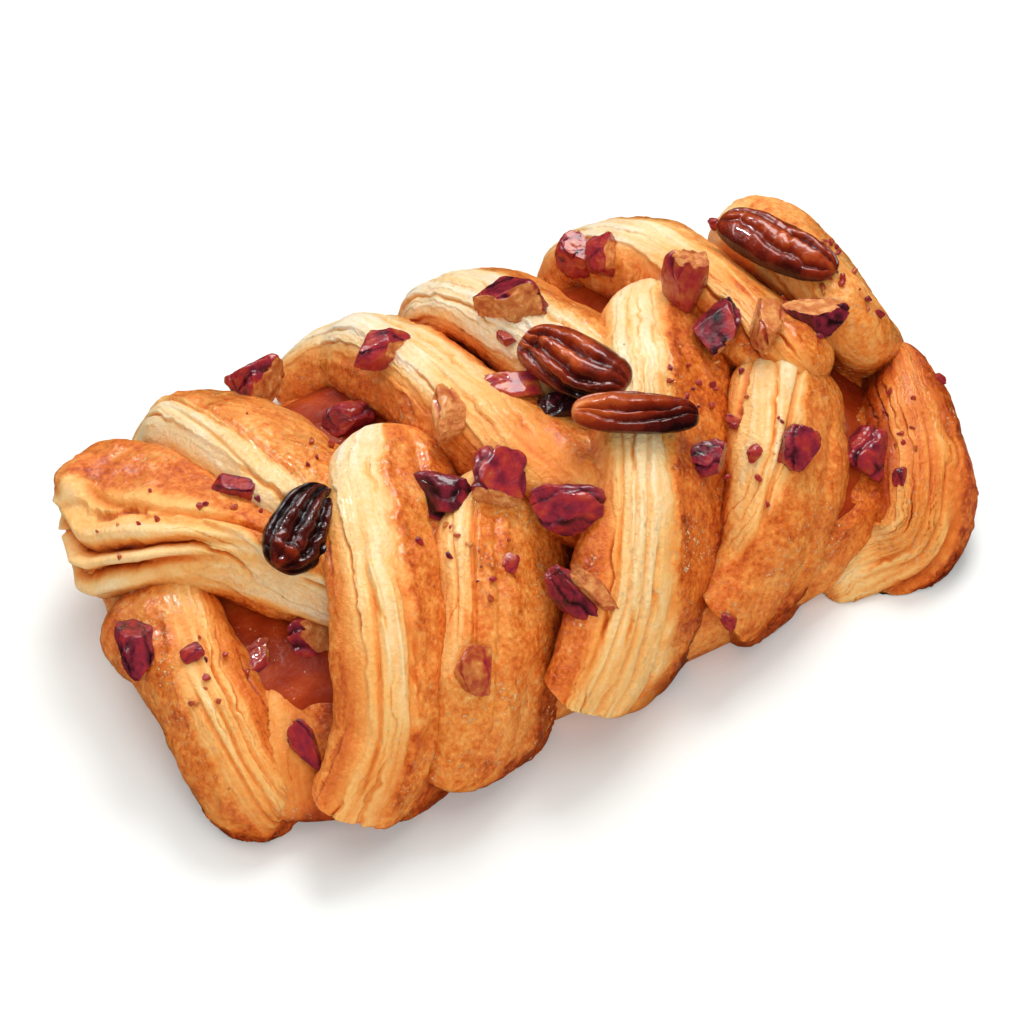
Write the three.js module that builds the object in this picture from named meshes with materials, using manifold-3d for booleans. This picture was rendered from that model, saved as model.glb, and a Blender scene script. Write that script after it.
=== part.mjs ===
// A pecan plait: a Danish pastry of crossed dough strips over a flat bed, with a dark caramel
// filling that shows in the gaps, and pecan halves and chopped pecans baked onto the top.
// Millimetres. +X runs along the plait, -Y is its near flank, +Z is up, and it rests on Z = 0.

import * as THREE from 'three';
import { mergeVertices } from 'three/addons/utils/BufferGeometryUtils.js';
import Module from 'manifold-3d';

const wasm = await Module();
wasm.setup();

// The sides of the plait that a strip starts from
const NEAR = -1;
const FAR = 1;

// Where the middle of the finished plait lies in the strips' own frame
const CENTRE = new THREE.Vector3(0.9, 1.1, 0);

// The loaf's cross-section is |y / foot| ^ power + |z / crest| ^ power = 1, and the strips
// turn their tops away from a spine that ends short of both ends of the loaf.
const LOAF = { power: 2.3, spineReach: 44, spineHeight: 6 };

// A strip's section is a rounded block with a slightly crowned top
const SECTION = { sidePower: 2.7, topPower: 2.5, crown: 0.12, sunk: 0.45, slimming: 0.8 };

// The cut side of a strip, by section angle in degrees, where the folded layers show as ridges
const LAYERS = { from: 84, to: 204, points: 8, relief: 0.8, groove: 0.6, smoothPoints: 9 };

// Sections along a strip, closer together at its ends by this much
const STATIONS = 12;
const CROWDING = 0.4;
const ROUTE_SAMPLES = 240;

// A strip's width falls to almost nothing at its ends, and wavers a little on the way
const END = { fall: 0.97, power: 2.2 };
const WAVER = { depth: 0.035, waves: 7, shift: 2.1 };

// The flat bed under the strips: [inset, height] of each ring up its side
const BED = { halfLength: 73, halfWidth: 39.5, power: 3.5, sides: 36, offset: -0.5 };
const BED_RINGS = [[0.96, 0], [1, 3], [0.99, 8], [0.93, 12], [0.84, 14]];

// The filling: a low dome in the bed, highest in the middle of the loaf
const FILLING = { halfLength: 61, halfWidth: 29, power: 3, sides: 30, base: 7, end: 14, middle: 21.5 };
const FILLING_RINGS = [[0.94, 0], [1, 0.25], [1, 0.55], [0.88, 0.82], [0.6, 0.97]];

// What touches something else keeps this gap to it
const GAP = 0.35;

// The table that the pastry rests on, which cuts it flat
const TABLE = { halfLength: 120, halfWidth: 90, depth: 40 };

// Nuts fall from this height onto what lies below, or from under in a row where it overhangs, and
// stand square to the loaf, which is measured from a spine this deep below the table.
const DROP_FROM = 60;
const NUT_SPINE = -20;

// A pecan half has lobes round its girth that sway along it, a groove down its back and a flat
// underside; latitudes are the angles of its rings, from one tip to the other
const HALF = {
  latitudes: [-78, -56, -28, 0, 28, 56, 78], sides: 14, taper: 0.75, lobes: 5, lobeDepth: 0.07,
  sway: 0.4, swayWaves: 3, grooveDepth: 0.16, grooveWidth: 0.3, underside: 0.55,
};

// A chopped piece is a block with rounded corners and uneven faces, and a bit is a small chip
const PIECE = {
  latitudes: [-72, -24, 24, 72], sides: 7, roughness: 0.1, endPower: 0.6, girthPower: 0.55, cornerPower: 0.7,
};
const BIT = {
  latitudes: [-50, 50], sides: 5, width: 0.8, height: 0.7, length: 1.2, girth: 1.4, turn: 50, rise: 0.3,
};

// Strips in the order that they were laid. A strip starts on its side's flank at the angle from, at
// root along the loaf, climbs the flank over foot and crest, and ends at the angle reach, past 90
// where it crosses the middle. It gains lean along the loaf, sooner where bow is under 1 and later
// where it is over 1. Widths, thicknesses, rolls and flares are spaced evenly along it; roll lifts
// its left edge, flare widens its cut side, and the cut side is the left one unless cut is -1.
const strip = (row) => ({
  from: 0, bow: 1, tuck: 0, spine: LOAF.spineHeight, near: 7, far: 9, cut: 1, flare: [1, 1], ...row,
});
const STRIPS = [
  strip({
    side: NEAR, root: -56, lean: -18, bow: 0.15, foot: 36, crest: 20, reach: 100, spine: -25, near: 9,
    cut: -1, width: [13, 21, 20, 17, 15], thick: [12, 18, 18, 16, 12], roll: [-16, -24, -24, -14, 0],
    flare: [1, 0.7, 0.7, 1, 1.5, 1.9],
  }),
  strip({
    side: NEAR, root: -57, lean: 7, foot: 40, crest: 18, reach: 64, far: 6,
    width: [22, 26, 24], thick: [9, 11, 9], roll: [0, 12, 18],
  }),
  strip({
    side: FAR, root: -41.5, lean: 13, bow: 1.3, foot: 46, crest: 31.5, reach: 106,
    width: [24, 25, 25, 22], thick: [13, 15, 15, 12], roll: [16, 24, 26, 22],
  }),
  strip({
    side: FAR, root: -70, lean: 38, foot: 45, crest: 31.5, from: 38, reach: 117,
    width: [13, 19, 19, 15, 12], thick: [13, 16, 17, 16, 12], roll: [-12, 0, 25, 36, 26], near: 9,
    flare: [1.3, 2.1, 1.7, 0.8, 0.5, 0.6],
  }),
  strip({
    side: NEAR, root: -27.5, lean: 28, foot: 45.5, crest: 30, reach: 84, near: 5,
    width: [30, 31, 29, 22], thick: [13, 15, 15, 12], roll: [18, 24, 24, 20],
  }),
  strip({
    side: NEAR, root: -45.5, lean: 28.5, bow: 0.75, foot: 45, crest: 33.5, reach: 102, near: 5, far: 12,
    width: [42, 28, 27, 27, 23], thick: [14, 16, 17, 16, 11], roll: [14, 24, 30, 28, 24],
  }),
  strip({
    side: FAR, root: 16, lean: 12, bow: 2, foot: 48, crest: 33, reach: 104,
    width: [28, 27, 25, 20], thick: [13, 15, 15, 12], roll: [16, 24, 24, 20],
  }),
  strip({
    side: FAR, root: -8, lean: 25, bow: 2.6, foot: 49, crest: 33.5, reach: 124,
    width: [28, 28, 26, 24, 18], thick: [13, 15, 16, 15, 11], roll: [16, 24, 26, 24, 20],
    flare: [1.25, 0.6, 0.5, 0.85, 1, 1],
  }),
  strip({
    side: NEAR, root: 22, lean: 34, bow: 0.6, foot: 40, crest: 29.5, reach: 82, near: 5,
    width: [38, 27, 26, 24], thick: [13, 15, 16, 13], roll: [16, 20, 22, 18],
  }),
  strip({
    side: NEAR, root: -2, lean: 45, bow: 0.78, foot: 43, crest: 33.5, reach: 114, near: 5, far: 12,
    width: [48, 34, 30, 28, 22], thick: [14, 17, 18, 16, 12], roll: [20, 26, 30, 28, 22],
  }),
  strip({
    side: NEAR, root: 42.5, lean: 35, bow: 0.3, foot: 49, crest: 19, reach: 86, tuck: 8, spine: -30,
    width: [21, 20, 20, 16, 7], thick: [11, 15, 17, 16, 14], roll: [10, 4, 0, 0, 0],
  }),
  strip({
    side: FAR, root: 44.8, lean: 12.2, bow: 2, foot: 47, crest: 33, reach: 104,
    width: [28, 27, 25, 20], thick: [13, 15, 15, 12], roll: [16, 24, 24, 20],
    flare: [1.15, 0.85, 0.62, 0.75, 1],
  }),
  strip({
    side: FAR, root: 76, lean: -2.8, foot: 31, crest: 23.6, reach: 108,
    width: [23, 30, 33, 26], thick: [14, 15, 15, 12], roll: [14, 14, 8, 4],
  }),
];

// Pecan halves: where each lies, its length, width and height, and its turn about the upright,
// pitch and roll in degrees. Rise is how far its middle stands over what it lies on.
const HALVES = [
  { at: [59.5, 11.5], size: [24, 11.5, 8], turn: -65, pitch: 0, roll: 12, rise: 2.4 },
  { at: [13.5, 2.5], size: [21.5, 12, 8], turn: -62, pitch: 0, roll: 8, rise: 2.6 },
  { at: [16, -14.5], size: [22, 9.5, 8], turn: -24, pitch: 3, roll: -30, rise: 2.4 },
  { at: [-42.3, -4.7], size: [18, 11.5, 7.5], turn: 34, pitch: 0, roll: 18, rise: 0.8 },
];

// Chopped pieces, in the same terms
const PIECES = [
  { at: [-32, 35], size: [10.5, 9, 11], turn: 20, pitch: 10, roll: 8, rise: 5 },
  { at: [-12, 26.5], size: [11, 8, 6.5], turn: -25, pitch: 6, roll: 0, rise: 1.4 },
  { at: [-20, 23.5], size: [9, 8, 6], turn: 10, pitch: 0, roll: 12, rise: 1.4, under: 24 },
  { at: [-10, 5], size: [11, 6, 6], turn: 70, pitch: 0, roll: 0, rise: 0.8 },
  { at: [11, 22.5], size: [13, 10, 7.5], turn: -20, pitch: 0, roll: 6, rise: 1.8 },
  { at: [33, 36.5], size: [7, 8, 8.5], turn: 30, pitch: 0, roll: 12, rise: 1.2 },
  { at: [35.2, 30.5], size: [6.5, 9, 8], turn: -10, pitch: 8, roll: -6, rise: 1 },
  { at: [40.5, 10], size: [7.5, 8, 11], turn: 15, pitch: 8, roll: 6, rise: 2.8 },
  { at: [41.5, 0], size: [12, 9.5, 9], turn: 78, pitch: 0, roll: -8, rise: 2 },
  { at: [47.5, -5.5], size: [10, 6, 7], turn: 62, pitch: 0, roll: 0, rise: 1.5 },
  { at: [58.5, -4.6], size: [12, 7.5, 6.5], turn: -24, pitch: 0, roll: 0, rise: 3.4 },
  { at: [-18, -10], size: [14, 8.5, 7], turn: -38, pitch: -4, roll: 14, rise: 1.8 },
  { at: [-9, -11.5], size: [10.5, 9.5, 8], turn: 58, pitch: 0, roll: 4, rise: 1.8 },
  { at: [0, -21], size: [13.5, 9, 8], turn: -30, pitch: -6, roll: 8, rise: 1.8 },
  { at: [-5.6, -34.5], size: [12.5, 6.5, 6.5], turn: 118, pitch: 0, roll: 0, rise: 0.6 },
  { at: [-4, -35.5], size: [12, 4, 4], turn: 112, pitch: 6, roll: 20, rise: 0.8 },
  { at: [-27.5, -40], size: [8.5, 7, 5.5], turn: 60, pitch: 0, roll: 0, rise: 0.9 },
  { at: [26.5, -21.5], size: [8, 6.5, 5.5], turn: -12, pitch: 0, roll: 0, rise: 1 },
  { at: [42, -26.5], size: [8.5, 7, 5.5], turn: 55, pitch: 0, roll: 8, rise: 1 },
  { at: [58.5, -24.5], size: [10.5, 9.5, 8], turn: 35, pitch: 0, roll: 6, rise: 3 },
  { at: [-56, -14.5], size: [8.5, 8, 7.5], turn: 25, pitch: 0, roll: 0, rise: 2.2, under: 24 },
  { at: [-46, -16], size: [10, 8.5, 7], turn: -18, pitch: 0, roll: 16, rise: 2, under: 20 },
  { at: [-74, -6], size: [12, 7.5, 6], turn: 75, pitch: 0, roll: 20, rise: 1.2, under: 24 },
  { at: [-56.5, -32.5], size: [9.5, 4.8, 4.5], turn: 96, pitch: 0, roll: 0, rise: 1.1 },
  { at: [-48.5, 9], size: [9, 5, 4], turn: -48, pitch: 0, roll: 0, rise: 0.8 },
  { at: [3.5, 6.5], size: [10, 7.5, 5], turn: -20, pitch: 0, roll: 0, rise: 1 },
  { at: [8, -0.5], size: [8.5, 7, 5], turn: 20, pitch: 0, roll: 0, rise: 1 },
];

// Bits of pecan too small to stand alone: place and length
const BITS = [
  [-67.5, -13, 4], [-14, -26, 3.6], [19, -43.5, 3.6], [35, -16, 3], [34.5, -24, 3.2],
  [60.5, -32, 3.6], [21.5, -15, 3], [78, -16, 3], [60.5, 34, 3.6], [7.5, 16.5, 3.4],
];

const UP = new THREE.Vector3(0, 0, 1);
const radians = THREE.MathUtils.degToRad;
const signedPower = (value, power) => Math.sign(value) * Math.abs(value) ** power;
const nearestSpine = (x) => THREE.MathUtils.clamp(x, -LOAF.spineReach, LOAF.spineReach);

// The value at share t of the way along a list of evenly spaced values
function along(values, t) {
  const place = t * (values.length - 1);
  const before = Math.min(Math.floor(place), values.length - 2);
  return THREE.MathUtils.lerp(values[before], values[before + 1], place - before);
}

// A point on a superellipse with these half sizes
function superellipse(angle, halfLength, halfWidth, power) {
  return [
    halfLength * signedPower(Math.cos(angle), 2 / power),
    halfWidth * signedPower(Math.sin(angle), 2 / power),
  ];
}

// A closed solid through rings of points, with each end closed by a fan to its middle
function solidFromRings(rings) {
  const sides = rings[0].length;
  const middles = [rings[0], rings.at(-1)].map((ring) =>
    ring.reduce((sum, point) => sum.add(point), new THREE.Vector3()).divideScalar(sides));
  const points = [...rings.flat(), ...middles];
  const last = (rings.length - 1) * sides;
  const triangles = [];
  for (let k = 0; k < sides; k++) {
    const next = (k + 1) % sides;
    for (let r = 0; r < last; r += sides) {
      triangles.push([r + k, r + next, r + sides + next], [r + k, r + sides + next, r + sides + k]);
    }
    triangles.push([next, k, last + sides], [last + k, last + next, last + sides + 1]);
  }
  return makeSolid(points, triangles);
}

// A solid from points and triangles, turned so that its faces point out
function makeSolid(points, triangles) {
  const vertProperties = new Float32Array(points.flatMap((point) => point.toArray()));
  const build = (list) =>
    new wasm.Manifold(new wasm.Mesh({ numProp: 3, vertProperties, triVerts: new Uint32Array(list.flat()) }));
  const made = build(triangles);
  return made.volume() > 0 ? made : build(triangles.map(([a, b, c]) => [a, c, b]));
}

// The solid that a closed three.js geometry bounds
function solidFromGeometry(geometry) {
  geometry.deleteAttribute('normal');
  geometry.deleteAttribute('uv');
  const { attributes, index } = mergeVertices(geometry);
  const points = Array.from({ length: attributes.position.count }, (_, i) =>
    new THREE.Vector3().fromBufferAttribute(attributes.position, i));
  const triangles = Array.from({ length: index.count / 3 }, (_, i) =>
    [index.getX(3 * i), index.getX(3 * i + 1), index.getX(3 * i + 2)]);
  return makeSolid(points, triangles);
}

// The middle line of a strip's top, in even steps
function stripRoute(row) {
  const flank = [];
  let climbed = 0;
  for (let i = 0; i <= ROUTE_SAMPLES; i++) {
    const angle = radians(THREE.MathUtils.lerp(row.from, row.reach, i / ROUTE_SAMPLES));
    const y = row.side * row.foot * signedPower(Math.cos(angle), 2 / LOAF.power);
    const z = row.crest * signedPower(Math.sin(angle), 2 / LOAF.power);
    const point = new THREE.Vector3(0, y, z);
    climbed += i ? point.distanceTo(flank[i - 1].point) : 0;
    flank.push({ point, climbed });
  }
  const places = flank.map(({ point, climbed: here }) => {
    const t = here / climbed;
    const x = row.root + row.lean * t ** row.bow;
    return new THREE.Vector3(x, point.y - row.side * row.tuck * (1 - t) ** 3, point.z);
  });
  const lengths = [0];
  for (let i = 1; i < places.length; i++) {
    lengths.push(lengths[i - 1] + places[i].distanceTo(places[i - 1]));
  }
  return (t) => {
    const wanted = t * lengths.at(-1);
    const after = Math.max(1, lengths.findIndex((length) => length >= wanted - 1e-9));
    const share = (wanted - lengths[after - 1]) / (lengths[after] - lengths[after - 1]);
    return { point: places[after - 1].clone().lerp(places[after], share), length: lengths.at(-1) };
  };
}

// How much of its full width a strip has at this distance from an end that rounds off
function rounding(distance, size) {
  const near = Math.max(0, 1 - distance / size);
  return Math.sqrt(1 - END.fall * near ** END.power);
}

// Section angles: close together on the cut side, where every other point is a ridge
function sectionAngles() {
  const angles = [];
  for (let i = 0; i < LAYERS.points; i++) {
    const share = i / (LAYERS.points - 1);
    const ridge = i % 2 ? 1 : -LAYERS.groove;
    angles.push({ angle: radians(THREE.MathUtils.lerp(LAYERS.from, LAYERS.to, share)), ridge });
  }
  for (let i = 1; i <= LAYERS.smoothPoints; i++) {
    const share = i / (LAYERS.smoothPoints + 1);
    angles.push({ angle: radians(THREE.MathUtils.lerp(LAYERS.to, LAYERS.from + 360, share)), ridge: 0 });
  }
  return angles;
}

// A strip: its section carried along its route, square to the route and to the spine
function stripSolid(row, number) {
  const route = stripRoute(row);
  const angles = sectionAngles();
  const rings = [];
  for (let i = 0; i < STATIONS; i++) {
    const even = i / (STATIONS - 1);
    const t = THREE.MathUtils.lerp(even, (1 - Math.cos(Math.PI * even)) / 2, CROWDING);
    const { point, length } = route(t);
    const ahead = route(Math.min(1, t + 0.01)).point;
    const heading = ahead.sub(route(Math.max(0, t - 0.01)).point).normalize();
    const spine = new THREE.Vector3(nearestSpine(point.x), 0, row.spine);
    const out = point.clone().sub(spine).normalize();
    const across = heading.clone().cross(out).normalize().multiplyScalar(-row.side);
    const up = across.clone().cross(heading).normalize().multiplyScalar(-row.side);
    const roll = radians(along(row.roll, t));
    const right = across.clone().multiplyScalar(Math.cos(roll)).addScaledVector(up, -Math.sin(roll));
    const top = up.clone().multiplyScalar(Math.cos(roll)).addScaledVector(across, Math.sin(roll));
    const end = rounding(t * length, row.near) * rounding((1 - t) * length, row.far);
    const waver = 1 + WAVER.depth * Math.sin(WAVER.waves * t + WAVER.shift * number);
    const halfWidth = (along(row.width, t) / 2) * end * waver;
    const halfThick = (along(row.thick, t) / 2) * end ** SECTION.slimming;
    const flare = along(row.flare, t);
    const middle = point.clone().addScaledVector(top, -along(row.thick, t) * SECTION.sunk);
    rings.push(angles.map(({ angle, ridge }) => {
      const u = row.cut * signedPower(Math.cos(angle), 2 / SECTION.sidePower);
      const sideways = Math.cos(angle) < 0 ? u * flare : u;
      const v = signedPower(Math.sin(angle), 2 / SECTION.topPower);
      const crown = v > 0 ? SECTION.crown * (1 - u * u) : 0;
      const relief = LAYERS.relief * ridge * end;
      return middle.clone()
        .addScaledVector(right, halfWidth * sideways + row.cut * relief * Math.cos(angle))
        .addScaledVector(top, halfThick * (v + crown) + relief * Math.sin(angle));
    }));
  }
  return solidFromRings(rings);
}

// The flat bed, whose rim closes the loaf's ends and flanks
function bedSolid() {
  return solidFromRings(BED_RINGS.map(([inset, height]) =>
    Array.from({ length: BED.sides }, (_, k) => {
      const angle = (2 * Math.PI * k) / BED.sides;
      const [x, y] = superellipse(angle, BED.halfLength * inset, BED.halfWidth * inset, BED.power);
      return new THREE.Vector3(x, y + BED.offset, height);
    })));
}

// The filling's dome, or with a gap the hollow that it lies in
function fillingSolid(gap) {
  const base = FILLING.base - gap;
  return solidFromRings(FILLING_RINGS.map(([inset, rise]) =>
    Array.from({ length: FILLING.sides }, (_, k) => {
      const angle = (2 * Math.PI * k) / FILLING.sides;
      const length = FILLING.halfLength * inset + gap;
      const [x, y] = superellipse(angle, length, FILLING.halfWidth * inset + gap, FILLING.power);
      const middle = 1 - (x / FILLING.halfLength) ** 2;
      const top = FILLING.end + (FILLING.middle - FILLING.end) * Math.max(0, middle) + gap;
      return new THREE.Vector3(x, y, base + (top - base) * rise);
    })));
}

// Unevenness from -1 to 1 over a nut's surface, different for each number
function uneven(number, latitude, longitude) {
  const first = Math.sin(2 * longitude + 1.7 * number) * Math.cos(latitude * 1.5 + number);
  const second = Math.sin(3 * longitude + 2.9 * number + 2 * latitude);
  return 0.6 * first + 0.4 * second;
}

// Rings round a nut's length, from one end to the other, with the outline that shape gives
function nutRings(size, gap, { latitudes, sides }, shape) {
  const half = size.map((value) => value / 2 + gap);
  return latitudes.map((degrees) =>
    Array.from({ length: sides }, (_, k) => {
      const [x, y, z] = shape(radians(degrees), (2 * Math.PI * k) / sides);
      return new THREE.Vector3(x * half[0], y * half[1], z * half[2]);
    }));
}

// A chopped piece: a blocky, uneven lump
function pieceRings(row, number, gap) {
  return nutRings(row.size, gap, PIECE, (latitude, longitude) => {
    const rough = 1 + PIECE.roughness * uneven(number, latitude, longitude);
    const girth = signedPower(Math.cos(latitude), PIECE.girthPower) * rough;
    return [
      signedPower(Math.sin(latitude), PIECE.endPower) * rough,
      girth * signedPower(Math.cos(longitude), PIECE.cornerPower),
      girth * signedPower(Math.sin(longitude), PIECE.cornerPower),
    ];
  });
}

// A half: long and round-backed, pointed at both ends, with lobes along its back
function halfRings(row, number, gap) {
  return nutRings(row.size, gap, HALF, (latitude, longitude) => {
    const sway = HALF.sway * Math.sin(HALF.swayWaves * latitude);
    const lobes = 1 + HALF.lobeDepth * Math.cos(HALF.lobes * longitude + sway);
    const fromBack = (longitude - Math.PI / 2) / HALF.grooveWidth;
    const groove = 1 - HALF.grooveDepth * Math.exp(-(fromBack ** 2));
    const girth = Math.cos(latitude) ** HALF.taper;
    const height = Math.sin(longitude);
    return [
      Math.sin(latitude),
      girth * Math.cos(longitude) * lobes,
      girth * (height > 0 ? height * lobes * groove : HALF.underside * height),
    ];
  });
}

// A bit: a chip with flat ends
function bitRings(row) {
  return nutRings(row.size, 0, BIT, (latitude, longitude) => [
    BIT.length * Math.sin(latitude),
    BIT.girth * Math.cos(latitude) * Math.cos(longitude),
    BIT.girth * Math.cos(latitude) * Math.sin(longitude),
  ]);
}

// A nut where it lies: turned, pitched and rolled, then stood square to the loaf
function placeNut(rings, row, surface) {
  const [x, y] = row.at;
  const place = new THREE.Vector3(x, y, surface(x, y, row.under) + row.rise);
  const out = place.clone().sub(new THREE.Vector3(nearestSpine(x), 0, NUT_SPINE)).normalize();
  const stand = new THREE.Quaternion().setFromUnitVectors(UP, out);
  const euler = new THREE.Euler(radians(row.roll), radians(row.pitch), radians(row.turn), 'ZYX');
  stand.multiply(new THREE.Quaternion().setFromEuler(euler));
  return solidFromRings(rings.map((ring) => ring.map((point) => point.applyQuaternion(stand).add(place))));
}

// The height of the highest of these solids at a place, below a given height
function heights(solids) {
  const meshes = solids.map((solid) => new THREE.Mesh(geometryOf(solid), new THREE.MeshBasicMaterial()));
  const down = UP.clone().negate();
  return (x, y, under = DROP_FROM) => {
    const caster = new THREE.Raycaster(new THREE.Vector3(x, y, under), down);
    const hit = caster.intersectObjects(meshes)[0];
    if (!hit) throw new Error(`nothing lies under ${x}, ${y}`);
    return hit.point.z;
  };
}

function geometryOf(solid) {
  const mesh = solid.getMesh();
  const geometry = new THREE.BufferGeometry();
  geometry.setAttribute('position', new THREE.BufferAttribute(new Float32Array(mesh.vertProperties), 3));
  geometry.setIndex(new THREE.BufferAttribute(new Uint32Array(mesh.triVerts), 1));
  geometry.computeVertexNormals();
  return geometry;
}

// The largest body of a solid: loose scraps are dropped and sealed hollows filled
function mainBody(solid) {
  return solid.decompose().reduce((best, body) => (body.volume() > best.volume() ? body : best));
}

const joined = (solids) => solids.reduce((sum, solid) => sum.add(solid));

const below = new THREE.BoxGeometry(2 * TABLE.halfLength, 2 * TABLE.halfWidth, TABLE.depth);
const table = solidFromGeometry(below.translate(0, 0, -TABLE.depth / 2));

const rawDough = joined([bedSolid(), ...STRIPS.map(stripSolid)]).subtract(table);
const hollowDough = mainBody(rawDough.subtract(fillingSolid(GAP)));
const rawFilling = fillingSolid(0);
const surface = heights([hollowDough, rawFilling]);

const nuts = [
  ...HALVES.map((row, i) => ({ name: `pecan_half_${i + 1}`, row, number: i, rings: halfRings })),
  ...PIECES.map((row, i) => ({
    name: `pecan_piece_${String(i + 1).padStart(2, '0')}`, row, number: i, rings: pieceRings,
  })),
];

// Each nut gives way to those before it, and the dough and filling to all of them
let taken = null;
for (const nut of nuts) {
  const bare = placeNut(nut.rings(nut.row, nut.number, 0), nut.row, surface);
  const grown = placeNut(nut.rings(nut.row, nut.number, GAP), nut.row, surface);
  nut.solid = mainBody(taken ? bare.subtract(taken) : bare).subtract(table);
  taken = taken ? taken.add(grown) : grown;
}

const bits = BITS.map(([x, y, length], i) => {
  const size = [length, length * BIT.width, length * BIT.height];
  const row = { at: [x, y], size, turn: BIT.turn * i, pitch: 0, roll: 0, rise: BIT.rise };
  return placeNut(bitRings(row), row, surface);
});

const dough = mainBody(joined([hollowDough, ...bits]).subtract(taken));
const filling = mainBody(rawFilling.subtract(taken));

// Finishes
const finish = (color, roughness) => new THREE.MeshStandardMaterial({ color, roughness, metalness: 0 });
const bakedDough = finish(0xe0a25c, 0.6);
const caramel = finish(0x93380f, 0.25);
const pecanSkin = finish(0x74301f, 0.4);

const pastry = new THREE.Group();

function addNode(name, solid, material) {
  const mesh = new THREE.Mesh(geometryOf(solid), material);
  mesh.name = name;
  mesh.position.copy(CENTRE).negate();
  pastry.add(mesh);
}

addNode('dough', dough, bakedDough);
addNode('filling', filling, caramel);
for (const nut of nuts) addNode(nut.name, nut.solid, pecanSkin);

export default pastry;
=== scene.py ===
"""A pecan plait: crossed strips of laminated Danish dough over a dark caramel filling, with pecan
halves, chopped pecans and crumbs baked onto the top, on a white table in soft light.

Shapes are worked out in millimetres in the plait's own frame, +X along it and -Y its near flank,
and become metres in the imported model's frame when they are made into meshes.
"""

import bpy
import numpy as np
from mathutils import Euler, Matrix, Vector


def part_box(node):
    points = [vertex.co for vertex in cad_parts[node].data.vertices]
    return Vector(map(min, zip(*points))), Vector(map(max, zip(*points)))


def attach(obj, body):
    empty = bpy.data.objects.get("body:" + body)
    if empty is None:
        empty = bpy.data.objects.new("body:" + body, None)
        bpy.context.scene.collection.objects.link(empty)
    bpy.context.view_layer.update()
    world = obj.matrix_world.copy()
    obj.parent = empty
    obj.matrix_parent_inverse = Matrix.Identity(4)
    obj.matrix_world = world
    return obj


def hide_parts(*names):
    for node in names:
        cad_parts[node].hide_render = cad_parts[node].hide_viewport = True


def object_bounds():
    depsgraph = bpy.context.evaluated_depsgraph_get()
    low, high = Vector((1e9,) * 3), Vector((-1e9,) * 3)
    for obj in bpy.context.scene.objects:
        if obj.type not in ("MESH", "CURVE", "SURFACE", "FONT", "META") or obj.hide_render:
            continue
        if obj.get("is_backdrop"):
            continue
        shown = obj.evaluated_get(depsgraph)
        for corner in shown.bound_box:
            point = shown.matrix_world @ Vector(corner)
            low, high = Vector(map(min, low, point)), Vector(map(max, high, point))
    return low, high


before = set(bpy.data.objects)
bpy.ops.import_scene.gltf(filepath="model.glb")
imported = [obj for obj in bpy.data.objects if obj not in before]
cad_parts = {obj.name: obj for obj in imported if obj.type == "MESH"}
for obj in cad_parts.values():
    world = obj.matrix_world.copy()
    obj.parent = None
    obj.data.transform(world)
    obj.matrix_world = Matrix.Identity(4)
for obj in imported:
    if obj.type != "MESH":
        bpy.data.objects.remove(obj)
cad_low, cad_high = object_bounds()

MM = 0.001
NEAR, FAR = -1, 1

# The middle of the finished plait in the strips' own frame
CENTRE = np.array([0.9, 1.1, 0.0])

# The loaf: its cross-section's power, and the spines that the strips and the nuts turn their tops
# away from, by half their length and their heights
LOAF_POWER = 2.3
SPINE_REACH, SPINE_HEIGHT, NUT_SPINE = 44, 6, -20

# A strip's section is a rounded block with a slightly crowned top, whose middle lies under its route
# by a share of its thickness. Its ends close, the thickness less than the width, and the width
# wavers a little along it.
SIDE_POWER, TOP_POWER, CROWN, SUNK, SLIMMING = 2.7, 2.5, 0.12, 0.45, 0.8
END_FALL, END_POWER = 0.995, 2.2
WAVER, WAVER_WAVES, WAVER_SHIFT = 0.035, 7, 2.1

# The cut side of a strip, by section angle in degrees: where it lies as a rule, the angle over which
# its folds are counted, and how far its closer points go on before and after it
CUT_FROM, CUT_TO, CUT_SPAN = 84, 204, 120
CUT_BEFORE, CUT_AFTER = 14, 10

# How many points a strip has over its cut side, over its skin, along it and along its route
CUT_POINTS, SKIN_POINTS, STATIONS, ROUTE_POINTS = 124, 66, 250, 500


def strip(side, root, lean, foot, crest, reach, width, thick, roll, start=0, bow=1, tuck=0,
          spine=SPINE_HEIGHT, near=7, far=9, cut=1, flare=(1, 1), edge=(84, 84), hem=200, folds=6,
          depth=0.9, fine=0.22, bake=0.62, pale=(0.3, 0.3), seams=()):
    """One strip's sizes in mm and degrees. It climbs the loaf's near or far side from its root, and
    leans along the loaf by a power, bow, of the share climbed. Foot and crest are the loaf's half
    width and height there, start and reach the angles over it where the strip begins and ends, and
    tuck is how far its foot is drawn in. Width, thick and roll are spaced evenly from foot to far
    end. Spine is the height of the line that its top turns away from, near and far are the lengths
    over which its ends close, cut says which side is cut, and flare widens that side.
    The looks come last: the section angle where the skin ends, from foot to far end, and where the
    cut side ends; how many folds the cut side shows, their depth and that of the fine sheets; how
    brown the skin is, and from foot to far end how baked the cut side is, from 0 for raw cream to 1
    for dark brown; and seams, each with its share of the length and its section angle at both ends,
    its height, which is below 0 for a crevice, and its half width in degrees."""
    return dict(locals())


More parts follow.
